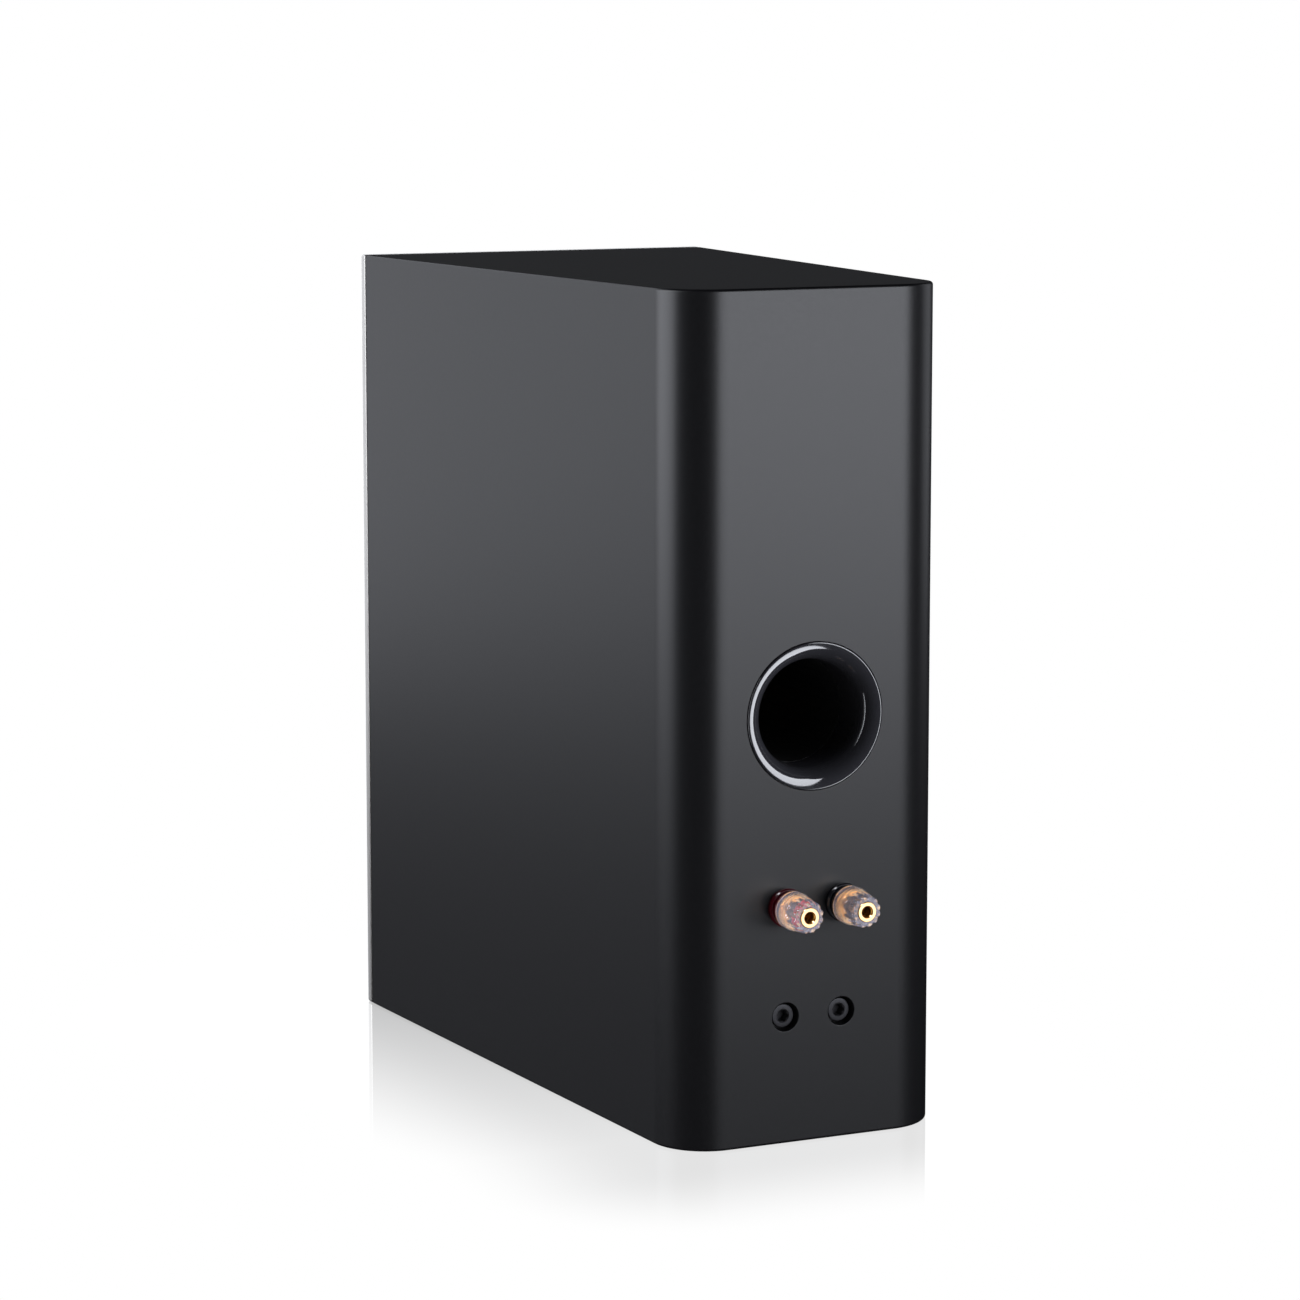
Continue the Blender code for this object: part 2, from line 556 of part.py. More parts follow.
def build_crossover():
    add_object("crossover_board", block((-42 * MM, 42 * MM), (BOARD_FRONT, BOARD_FRONT + 105 * MM),
                                        (FLOOR_Z, BOARD_TOP)), BOARD, smooth=False)
    rest = BOARD_TOP + GAP

    winding = tube_profile(9 * MM, 20 * MM, 0, 18 * MM)
    inductor = add_object("crossover_inductor", turned(winding, 18), COPPER)
    inductor.rotation_euler = (math.pi / 2, 0, 0)
    inductor.location = (-19 * MM, BOARD_FRONT + 26 * MM, rest)

    can = [(0, -17 * MM), (10 * MM, -17 * MM), (10 * MM, 17 * MM), (0, 17 * MM)]
    capacitor = add_object("crossover_capacitor", turned(can, 16), FILM)
    capacitor.location = (22 * MM, BOARD_FRONT + 30 * MM, rest + 10 * MM)

    add_object("crossover_resistor", block((-34 * MM, 14 * MM),
                                           (BOARD_FRONT + 62 * MM, BOARD_FRONT + 71 * MM),
                                           (rest, rest + 9 * MM)), CERAMIC, smooth=False)


def lead(name, route, material, radius=1.5 * MM):
    """A wire along a smooth curve through its route's points."""
    points = []
    padded = [route[0]] + route + [route[-1]]
    for i in range(1, len(padded) - 2):
        before, start, end, after = padded[i - 1:i + 3]
        for step in range(LEAD_STEPS):
            t = step / LEAD_STEPS
            points.append([0.5 * (2 * s + (e - b) * t + (2 * b - 5 * s + 4 * e - a) * t * t
                                  + (3 * s - b - 3 * e + a) * t ** 3)
                           for b, s, e, a in zip(before, start, end, after)])
    points.append(route[-1])
    curve = bpy.data.curves.new(name, "CURVE")
    curve.dimensions = "3D"
    curve.bevel_depth = radius
    curve.bevel_resolution = 2
    curve.use_fill_caps = True
    spline = curve.splines.new("POLY")
    spline.points.add(len(points) - 1)
    for point, place in zip(spline.points, points):
        point.co = (*place, 1.0)
    curve.materials.append(material)
    bpy.context.collection.objects.link(bpy.data.objects.new(name, curve))


def build_leads():
    rest = BOARD_TOP + GAP
    stem_end = REAR_Y - 31 * MM - GAP
    for side, sign, material in (("red", 1, RED_WIRE), ("black", -1, BLACK_WIRE)):
        x = sign * POST_SPACING / 2
        lead(side + "_input_lead",
             [(x, stem_end, POST_HEIGHT), (x, stem_end - 10 * MM, POST_HEIGHT - 1 * MM),
              (x * 1.2, stem_end - 16 * MM, POST_HEIGHT - 18 * MM),
              (x * 1.5, BOARD_FRONT + 92 * MM, 50 * MM), (x * 1.5, BOARD_FRONT + 92 * MM, rest)],
             material)
    lead("woofer_lead",
         [(10 * MM, BOARD_FRONT + 8 * MM, rest), (10 * MM, BOARD_FRONT + 4 * MM, 38 * MM),
          (4 * MM, BOARD_FRONT - 18 * MM, 62 * MM), (0, SEAM_Y + 90 * MM, 70 * MM),
          (0, SEAM_Y + 62 * MM, 77 * MM), (0, SEAM_Y + 53 * MM, 81.8 * MM),
          (0, SEAM_Y + 48 * MM, 82.6 * MM)], BLACK_WIRE)
    lead("tweeter_lead",
         [(-2 * MM, BOARD_FRONT + 8 * MM, rest), (-2 * MM, BOARD_FRONT + 2 * MM, 44 * MM),
          (-10 * MM, BOARD_FRONT - 22 * MM, 100 * MM), (-14 * MM, SEAM_Y + 105 * MM, 180 * MM),
          (-8 * MM, SEAM_Y + 70 * MM, TWEETER_HEIGHT - 12 * MM),
          (0, SEAM_Y + 42 * MM, TWEETER_HEIGHT), (0, SEAM_Y + 25.4 * MM, TWEETER_HEIGHT)], RED_WIRE)


clear_scene()
build_cabinet()
build_baffle()
build_brace()
build_front()
build_lining()
build_port()
build_woofer()
build_tweeter()
for terminal_side, terminal_sign, terminal_colour in (("red", 1, RED), ("black", -1, BLACK)):
    build_terminal(terminal_side, terminal_sign * POST_SPACING / 2, terminal_colour)
for bolt_side, bolt_sign in (("left", 1), ("right", -1)):
    build_bolt(bolt_side, bolt_sign * BOLT_SPACING / 2)
build_crossover()
build_leads()
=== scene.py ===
import json
import math

import bmesh
import bpy
import numpy as np
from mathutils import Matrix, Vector

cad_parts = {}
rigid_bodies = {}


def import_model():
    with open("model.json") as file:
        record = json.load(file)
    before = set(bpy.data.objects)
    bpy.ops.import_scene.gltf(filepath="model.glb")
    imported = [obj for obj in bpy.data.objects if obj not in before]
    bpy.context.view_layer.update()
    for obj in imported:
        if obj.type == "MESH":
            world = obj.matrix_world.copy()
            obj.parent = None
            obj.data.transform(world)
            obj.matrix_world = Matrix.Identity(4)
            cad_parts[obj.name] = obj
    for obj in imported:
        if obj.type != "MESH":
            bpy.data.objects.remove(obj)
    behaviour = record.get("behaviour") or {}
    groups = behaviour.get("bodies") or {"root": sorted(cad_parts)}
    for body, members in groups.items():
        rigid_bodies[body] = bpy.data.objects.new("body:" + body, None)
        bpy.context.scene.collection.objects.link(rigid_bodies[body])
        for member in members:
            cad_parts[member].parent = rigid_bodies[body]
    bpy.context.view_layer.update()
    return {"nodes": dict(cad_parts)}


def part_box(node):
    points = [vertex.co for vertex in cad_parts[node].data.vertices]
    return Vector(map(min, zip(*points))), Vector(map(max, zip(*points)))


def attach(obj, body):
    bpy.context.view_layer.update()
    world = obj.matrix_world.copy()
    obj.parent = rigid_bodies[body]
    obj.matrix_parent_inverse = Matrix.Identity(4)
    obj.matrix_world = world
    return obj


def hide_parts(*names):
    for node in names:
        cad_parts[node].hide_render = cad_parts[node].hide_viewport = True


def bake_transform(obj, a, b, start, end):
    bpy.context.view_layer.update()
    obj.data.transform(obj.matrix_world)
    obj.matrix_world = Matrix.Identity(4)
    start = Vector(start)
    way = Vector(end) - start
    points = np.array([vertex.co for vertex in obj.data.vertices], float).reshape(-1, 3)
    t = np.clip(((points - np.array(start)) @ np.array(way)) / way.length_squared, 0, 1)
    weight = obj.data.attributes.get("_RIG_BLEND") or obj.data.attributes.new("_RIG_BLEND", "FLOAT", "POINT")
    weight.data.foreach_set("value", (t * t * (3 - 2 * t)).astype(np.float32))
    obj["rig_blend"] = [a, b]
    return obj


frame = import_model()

scene = bpy.context.scene


# ---------------------------------------------------------------- camera
# A product view of the back and the left side from a little above the top, with a long lens
# so that the cabinet's upright edges stay nearly parallel.
camera = bpy.data.objects.new("camera", bpy.data.cameras.new("camera"))
scene.collection.objects.link(camera)
scene.camera = camera
camera.data.sensor_width = 36
camera.data.lens = 108.392
camera.data.shift_y = -0.08
camera.location = (0.725811, 1.574533, 0.461503)
camera.rotation_euler = (math.radians(82.5927), 0, math.radians(155.5988))


# ---------------------------------------------------------------- cabinet shell
# The enclosure: fibreboard panels glued into one tapering box with two large rounded rear
# corners, sanded until no joint shows, then sprayed with a satin black lacquer. Its rims are
# only just broken. The rear face is bored for the port, the terminals and two socket screws.
MM = 0.001
FRONT_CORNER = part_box("left_side_panel")[1].x / MM       # half the width at the front
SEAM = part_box("left_side_panel")[0].y / MM               # front edge of the shell
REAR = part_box("rear_panel")[1].y / MM                    # the flat rear face
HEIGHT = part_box("top_panel")[1].z / MM
REAR_CORNER = 61.75              # half the width where the side and rear planes would meet
CORNER_RADIUS = 24.4
RIM_RADIUS = 1.3
WALL = 16
REAR_WALL = 19
SEAM_RADIUS = 0.4                # the broken upright edges at the front
PORT_HOLE_RADIUS = 27.5          # where the port tube passes through
FLANGE_SEAT_RADIUS = 31.45       # the recess that the port flange is let into
FLANGE_SEAT_DEPTH = 3.3
STEM_HOLE_RADIUS = 5             # for a binding post
BUSH_HOLE_RADIUS = 4.8           # for a screw's threaded bush
RECESS_RADIUS = 6.15             # counterbores of the socket screws
RECESS_DEPTH = 8.8
HOLE_MOUTH = 0.3                 # rounding where a hole leaves the rear face


def corner_frame(corners):
    """Each corner's point, unit vectors along its two edges, bisector and half angle."""
    point = np.array(corners, float)[:, :2]
    before, after = np.roll(point, 1, 0) - point, np.roll(point, -1, 0) - point
    before /= np.linalg.norm(before, axis=1, keepdims=True)
    after /= np.linalg.norm(after, axis=1, keepdims=True)
    bisector = before + after
    bisector /= np.maximum(np.linalg.norm(bisector, axis=1, keepdims=True), 1e-9)
    half = np.arccos(np.clip((before * after).sum(1, keepdims=True), -1, 1)) / 2
    return point, before, after, bisector, np.minimum(half, math.pi / 2 - 1e-4)


def rounded(corners, steps=6):
    """A closed outline, its corners (a, b, radius) turned into arcs. With c the arc's centre and
    p, q its ends seen from there, the arc is c + (p sin((1-t)w) + q sin(tw)) / sin(w) for t in
    0..1, where w is the angle that it turns through."""
    point, before, after, bisector, half = corner_frame(corners)
    radius = np.array(corners, float)[:, 2:]
    centre = point + bisector * radius / np.sin(half)
    start = point + before * radius / np.tan(half) - centre
    end = point + after * radius / np.tan(half) - centre
    turn = math.pi - 2 * half
    t = np.linspace(0, 1, steps + 1)[:, None, None]
    arcs = centre + (np.sin((1 - t) * turn) * start + np.sin(t * turn) * end) / np.sin(turn)
    return arcs.transpose(1, 0, 2).reshape(-1, 2)


def shrunk(corners, inset):
    """The same outline, all its edges moved inwards by inset."""
    point, _, _, bisector, half = corner_frame(corners)
    radius = np.maximum(np.array(corners, float)[:, 2:] - inset, 0)
    return np.hstack([point + bisector * inset / np.sin(half), radius])


def slab(corners, low, high, rim, steps=24):
    """A rounded outline carried from low to high, with rounded rims: at angle a round the rim it
    lies rim (1 - sin a) inwards and rim (1 - cos a) from the end."""
    a = np.linspace(0, math.pi / 2, 7)
    inset, rise = rim * (1 - np.sin(a)), rim * (1 - np.cos(a))
    inset, level = np.r_[inset, inset[::-1]], np.r_[low + rise, high - rise[::-1]]
    rings = np.stack([rounded(shrunk(corners, i), steps) for i in inset])
    levels = np.broadcast_to(level[:, None, None], rings.shape[:2] + (1,))
    return np.concatenate([rings, levels], -1)


def quads(rows, columns, closed):
    """Vertex numbers of a grid's quads. Columns close on themselves, and rows if closed is set."""
    i = np.arange(rows if closed else rows - 1)[:, None]
    j = np.arange(columns)[None, :]
    down, right = (i + 1) % rows, (j + 1) % columns
    return np.stack([i * columns + j, i * columns + right, down * columns + right,
                     down * columns + j], -1).reshape(-1, 4)


def solid(name, points, closed=True):
    """An object from a grid of points in mm, its doubles merged and its faces turned outwards.
    Open rows are capped at both ends."""
    rows, columns = points.shape[:2]
    faces = quads(rows, columns, closed).tolist()
    if not closed:
        faces += [list(range(columns)), list(range((rows - 1) * columns, rows * columns))]
    mesh = bpy.data.meshes.new(name)
    mesh.from_pydata((points.reshape(-1, 3) * MM).tolist(), [], faces)
    shape = bmesh.new()
    shape.from_mesh(mesh)
    bmesh.ops.remove_doubles(shape, verts=shape.verts, dist=1e-7)
    flat = [f for f in shape.faces if f.calc_area() < 1e-14]
    bmesh.ops.delete(shape, geom=flat, context="FACES_ONLY")
    loose = [e for e in shape.edges if not e.link_faces]
    bmesh.ops.delete(shape, geom=loose, context="EDGES")
    bmesh.ops.recalc_face_normals(shape, faces=shape.faces)
    shape.to_mesh(mesh)
    shape.free()
    obj = bpy.data.objects.new(name, mesh)
    scene.collection.objects.link(obj)
    return obj


def turned(name, profile, centre=(0, 0, 0), segments=96, reshape=None):
    """A closed profile of (radius, depth) turned about the Y direction through centre:
    x = r sin a, y = depth, z = r cos a, where reshape may change r with depth and angle."""
    radius, depth = profile[None, :, 0], profile[None, :, 1]
    a = np.arange(segments)[:, None] / segments * 2 * math.pi
    if reshape:
        radius = reshape(radius, depth, a)
    points = np.stack([centre[0] + radius * np.sin(a), centre[1] + depth + 0 * a,
                       centre[2] + radius * np.cos(a)], -1)
    return solid(name, points)


def cut_away(piece, *cutters):
    """Takes closed shapes away from a piece for good."""
    for cutter in cutters:
        cut = piece.modifiers.new("cut", "BOOLEAN")
        cut.object, cut.solver, cut.material_mode = cutter, "EXACT", "TRANSFER"
    graph = bpy.context.evaluated_depsgraph_get()
    piece.data = bpy.data.meshes.new_from_object(piece.evaluated_get(graph))
    piece.modifiers.clear()
    for cutter in cutters:
        bpy.data.objects.remove(cutter)


def fit(piece, coat, body, slot, *nodes, crease=40):
    """Finishes a piece: smooth shading that keeps flat faces flat, its material unless it has
    one, and the body that it rides on. It stands for the CAD nodes named."""
    if not any(piece.data.materials):
        piece.data.materials.clear()
        piece.data.materials.append(coat)
    piece.data.shade_smooth()
    piece.data.set_sharp_from_angle(angle=math.radians(crease))
    weighted = piece.modifiers.new("flat_faces", "WEIGHTED_NORMAL")
    weighted.keep_sharp = True
    if nodes:
        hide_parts(*nodes)
    if body:
        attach(piece, body)
    return piece


def linear(colour):
    """An sRGB hex colour as linear red, green, blue and alpha."""
    srgb = np.array([int(colour[i:i + 2], 16) for i in (1, 3, 5)]) / 255
    value = np.where(srgb <= 0.04045, srgb / 12.92, ((srgb + 0.055) / 1.055) ** 2.4)
    return (*value.tolist(), 1.0)


def add(tree, kind, inputs, **settings):
    """Adds one node: settings first, then each input gets a value or another node's output."""
    node = tree.nodes.new("ShaderNode" + kind)
    for key, value in settings.items():
        setattr(node, key, value)
    for socket, value in inputs.items():
        if isinstance(value, bpy.types.NodeSocket):
            tree.links.new(value, node.inputs[socket])
        else:
            node.inputs[socket].default_value = value
    return node


def finish(name, colours, roughness, cell, relief, stretch=(1, 1, 1), **sockets):
    """A material with a fine random grain. Noise with cells of cell mm, stretched along an axis
    if asked, runs between two colours and two roughnesses and lifts the surface by relief mm."""
    material = bpy.data.materials.new(name)
    material.use_nodes = True
    tree = material.node_tree
    tree.nodes.clear()
    place = add(tree, "TexCoord", {})
    placed = add(tree, "Mapping", {"Vector": place.outputs["Object"], "Scale": stretch})
    grain = add(tree, "TexNoise", {"Vector": placed.outputs[0], "Scale": 1 / (cell * MM),
                                   "Detail": 3.0, "Roughness": 0.55})
    tone = add(tree, "Mix", {0: grain.outputs[0], 6: linear(colours[0]), 7: linear(colours[-1])},
               data_type="RGBA")
    gloss = add(tree, "MapRange", {0: grain.outputs[0], 1: 0.3, 2: 0.7, 3: roughness[0],
                                   4: roughness[-1]})
    bump = add(tree, "Bump", {"Height": grain.outputs[0], "Strength": 1.0,
                              "Distance": relief * MM})
    shader = add(tree, "BsdfPrincipled", {"Base Color": tone.outputs[2],
                                          "Roughness": gloss.outputs[0],
                                          "Normal": bump.outputs[0], **sockets})
    add(tree, "OutputMaterial", {"Surface": shader.outputs[0]})
    return material


def paint(material, *nodes):
    """Gives CAD nodes whose shape is kept their finish."""
    for name in nodes:
        mesh = frame["nodes"][name].data
        mesh.materials.clear()
        mesh.materials.append(material)


# Sprayed satin polyurethane: a soft broad reflection, with orange peel about 1.5 mm across
# that is too low to see as more than a slightly unsteady highlight.
satin_lacquer = finish("satin_black_lacquer", ("#0d0d0f", "#111113"), (0.33, 0.36), 1.5, 0.002,
                       IOR=1.5)
# Bare medium density fibreboard inside: brown, matt, with fibres of about 1 mm.
fibreboard = finish("raw_fibreboard", ("#8a6a4c", "#b08c66"), (0.85, 0.95), 0.9, 0.03)

plan = [(FRONT_CORNER, SEAM, SEAM_RADIUS), (REAR_CORNER, REAR, CORNER_RADIUS),
        (-REAR_CORNER, REAR, CORNER_RADIUS), (-FRONT_CORNER, SEAM, SEAM_RADIUS)]
taper = (FRONT_CORNER - REAR_CORNER) / (REAR - SEAM)     # narrowing of one side for each mm back


def inner_half(y):
    """Half the width inside the walls at depth y."""
    return FRONT_CORNER - taper * (y - SEAM) - WALL * math.hypot(1, taper)


def bore(low, *steps, centre, mouth=HOLE_MOUTH):
    """A stepped drill about the Y direction: (radius, depth it reaches) for each step, then a
    quarter circle of radius mouth that rounds the hole where it leaves the face."""
    corners, start = [(0, low)], low
    for radius, reach in steps:
        corners += [(radius, start), (radius, reach)]
        start = reach
    a = np.linspace(0, math.pi / 2, 6)
    lip = np.stack([radius + mouth * (1 - np.cos(a)), start - mouth + mouth * np.sin(a)], -1)
    beyond = [(radius + mouth, start + 3), (0, start + 3)]
    return turned("bore", np.vstack([corners[:-1], lip, beyond]), centre, 96)


shell = solid("cabinet_shell", slab(plan, 0, HEIGHT, RIM_RADIUS, 40), closed=False)
shell.data.materials.append(satin_lacquer)
inside = REAR - REAR_WALL
room = [(inner_half(SEAM - 2), SEAM - 2, 0), (inner_half(inside), inside, 0),
        (-inner_half(inside), inside, 0), (-inner_half(SEAM - 2), SEAM - 2, 0)]
cavity = solid("cavity", slab(room, WALL, HEIGHT - WALL, 0.01, 1), closed=False)
cavity.data.materials.append(fibreboard)


def axis_of(node):
    """Where a turned node's axis meets the rear or front: x and z in mm."""
    low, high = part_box(node)
    middle = (low + high) / 2 / MM
    return middle.x, middle.z


port_x, port_z = axis_of("port_flange")
drill_end = inside - 5
holes = [bore(drill_end, (PORT_HOLE_RADIUS, REAR - FLANGE_SEAT_DEPTH), (FLANGE_SEAT_RADIUS, REAR),
              centre=(port_x, 0, port_z), mouth=0.15)]
for node in ("red_terminal_base", "black_terminal_base"):
    x, z = axis_of(node)
    holes.append(bore(drill_end, (STEM_HOLE_RADIUS, REAR), centre=(x, 0, z)))
for node in ("left_mounting_bolt", "right_mounting_bolt"):
    x, z = axis_of(node)
    holes.append(bore(drill_end, (BUSH_HOLE_RADIUS, REAR - RECESS_DEPTH), (RECESS_RADIUS, REAR),
                      centre=(x, 0, z)))
cut_away(shell, cavity, *holes)
fit(shell, satin_lacquer, "cabinet", "cabinet_lacquer",
    "left_side_panel", "right_side_panel", "top_panel", "bottom_panel", "rear_panel", crease=50)


# ---------------------------------------------------------------- baffle, brace and lining
# Behind the front plate a fibreboard baffle carries the drive units. A windowed brace ties the
# walls together halfway back, and the rear half is lined with loose white polyester felt.
paint(fibreboard, "inner_baffle", "window_brace")
# Needled polyester: white, dull, with fibres a few millimetres long.
felt = finish("polyester_felt", ("#b9b6ad", "#dcdad2"), (0.95, 1.0), 2.0, 0.5, (1, 1, 3))
paint(felt, "damping_lining")


# ---------------------------------------------------------------- front plate and its seal
# A 5 mm aluminium plate closes the front, bead blasted and clear anodised, with a small radius
# round its edge and two bevelled openings. It stands off the cabinet on a thin foam seal.
plate_low, plate_high = (Vector(v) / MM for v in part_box("front_plate"))
woofer_x, woofer_z = axis_of("woofer_cone")
tweeter_x, tweeter_z = axis_of("tweeter_dome")
PLATE_CORNER = 1.2               # radius of its four corners
PLATE_RIM = 1.1                  # radius round its edge
WOOFER_OPENING = 55.5            # radii of the two openings
TWEETER_OPENING = 42.5
DISH = 2.6                       # radius of an opening's rounded rim
outline = [(plate_high.x, plate_high.z, PLATE_CORNER), (plate_low.x, plate_high.z, PLATE_CORNER),
           (plate_low.x, plate_low.z, PLATE_CORNER), (plate_high.x, plate_low.z, PLATE_CORNER)]
plate = solid("front_plate_visual",
              slab(outline, plate_low.y, plate_high.y, PLATE_RIM, 8)[:, :, [0, 2, 1]],
              closed=False)


def opening(radius, centre):
    """A round opening through the plate whose front rim is dished by a quarter circle."""
    a = np.linspace(0, math.pi / 2, 12)
    lip = np.stack([radius + DISH * (1 - np.sin(a)), plate_low.y + DISH * (1 - np.cos(a))], -1)
    ends = [(radius + DISH, plate_low.y - 2), (0, plate_low.y - 2), (0, plate_high.y + 2),
            (radius, plate_high.y + 2)]
    return turned("opening", np.vstack([lip, ends[::-1]]), centre, 160)


cut_away(plate, opening(WOOFER_OPENING, (woofer_x, 0, woofer_z)),
         opening(TWEETER_OPENING, (tweeter_x, 0, tweeter_z)))
# Blasted with fine glass bead, so the metal is grainy at 0.3 mm; drawn at 0.6 mm so it shows.
blasted_aluminium = finish("bead_blasted_aluminium", ("#a8a6a2", "#b3b1ad"), (0.34, 0.42), 0.6,
                           0.006, Metallic=1.0)
fit(plate, blasted_aluminium, "cabinet", "front_aluminium", "front_plate")
# Closed cell foam: dark grey and dull, with cells under half a millimetre.
foam = finish("closed_cell_foam", ("#242426", "#343436"), (0.8, 0.9), 0.4, 0.05)
paint(foam, "plate_gasket")


# ---------------------------------------------------------------- port
# A flared port: the flange is injection moulded ABS in gloss black, let into the rear face, and
# a plain black tube carries on behind it with a flared inner end.
LIP = 0.6                        # how far the flange stands out of the rear face
THROAT_RADIUS = 23
THROAT_DEPTH = -9.4              # where the horn has narrowed to the tube
MOUTH_RADIUS = 30.6
FLANGE_RADIUS = 31.15
# The horn is a quarter ellipse, r = mouth - (mouth - throat) cos a, y = throat depth + rise sin a;
# outside it a second quarter ellipse rounds the flange's edge down to the rear face.
around = np.linspace(math.pi / 2, 0, 40)
horn = np.stack([MOUTH_RADIUS - (MOUTH_RADIUS - THROAT_RADIUS) * np.cos(around),
                 THROAT_DEPTH + (LIP - THROAT_DEPTH) * np.sin(around)], -1)
around = np.linspace(0, math.pi / 2, 14)[:-1]
edge = np.stack([FLANGE_RADIUS - (FLANGE_RADIUS - MOUTH_RADIUS) * (1 - np.cos(around)),
                 LIP * np.sin(around)], -1)
COLLAR_RADIUS, COLLAR_END, FLANGE_BACK = 27, -22, -3
tail = np.array([(THROAT_RADIUS, COLLAR_END), (COLLAR_RADIUS, COLLAR_END),
                 (COLLAR_RADIUS, FLANGE_BACK), (FLANGE_RADIUS, FLANGE_BACK)], float)
flange = turned("port_flange_visual", np.vstack([edge, horn, tail]), (port_x, REAR, port_z), 192)
# Polished mould, so nearly a mirror; the faint turned lines of the tool run round the axis.
gloss_abs = finish("gloss_black_abs", ("#161618", "#1b1b1e"), (0.06, 0.10), 1.2, 0.0006, IOR=1.53)
fit(flange, gloss_abs, "cabinet", "port_gloss", "port_flange")
# Spark eroded mould texture: matt with a grain of about 0.5 mm.
matt_abs = finish("matt_black_abs", ("#0c0c0d", "#141415"), (0.55, 0.7), 0.5, 0.02, IOR=1.53)
paint(matt_abs, "port_tube", "tweeter_faceplate")


# ---------------------------------------------------------------- binding posts
# Two insulated binding posts. A gold plated brass stem with a 4 mm socket passes through a
# coloured base; a coloured ring clamps the wire, driven by a clear knob moulded onto a gold
# core whose knurled collar shows through. Coloured bars in the knob mark the polarity.
TEETH = 36
TOOTH_HEIGHT = 0.4
FLUTES = 12
FLUTE_START = 15.0               # where the grip flutes begin
FLUTE_DEPTH = 0.6
BAR_HEIGHT = 1.2


def knurled(radius, depth, angle):
    """Teeth round the core's collar only: r + height cos(TEETH a) where r is over 5.4 mm."""
    return radius + np.where(radius > 5.4, TOOTH_HEIGHT * np.cos(TEETH * angle), 0)


def fluted(radius, depth, angle):
    """Grip flutes outside the knob, which reach their full depth in 1.2 mm:
    r - depth (0.5 + 0.5 cos(FLUTES a))^1.5."""
    deep = FLUTE_DEPTH * np.clip((depth - FLUTE_START) / 1.2, 0, 1)
    wave = (0.5 + 0.5 * np.cos(FLUTES * angle)) ** 1.5
    return radius - np.where(radius > 6.27, deep * wave, 0)


def barred(radius, depth, angle):
    """Coloured bars under the grip flutes; between them the band sinks into the core,
    r - height where r is over 4 mm and cos(FLUTES a) is under 0.2."""
    return radius - BAR_HEIGHT * ((radius > 4) & (np.cos(FLUTES * angle) < 0.2))


# Gold over polished brass: warm and bright, with faint turning marks.
gold = finish("gold_plated_brass", ("#f2cc8c", "#fad69c"), (0.16, 0.24), 0.3, 0.0015, Metallic=1.0)
# Polycarbonate: clear with a faint violet haze, glossy. Its index is set below the real 1.585,
# which would magnify the core until it filled the knob.
clear = finish("clear_polycarbonate", ("#e6e3f8", "#edeafb"), (0.03, 0.05), 2.0, 0.001, IOR=1.35,
               **{"Transmission Weight": 0.87, "Specular IOR Level": 1.0})
# The same plastic tinted so deeply that it looks almost solid, glossy from the mould.
red_plastic = finish("red_tinted_polycarbonate", ("#3c0a12", "#480d17"), (0.08, 0.12), 1.0, 0.001,
                     IOR=1.585, **{"Transmission Weight": 0.35})
black_plastic = finish("black_tinted_polycarbonate", ("#101013", "#17171a"), (0.08, 0.12), 1.0,
                       0.001, IOR=1.585, **{"Transmission Weight": 0.2})
# Moulded coloured nylon: flat colour, half matt.
marker_red = finish("red_marker_band", ("#c01018", "#d01820"), (0.3, 0.35), 1.0, 0.001)
marker_black = finish("black_marker_band", ("#141416", "#1b1b1e"), (0.3, 0.35), 1.0, 0.001)

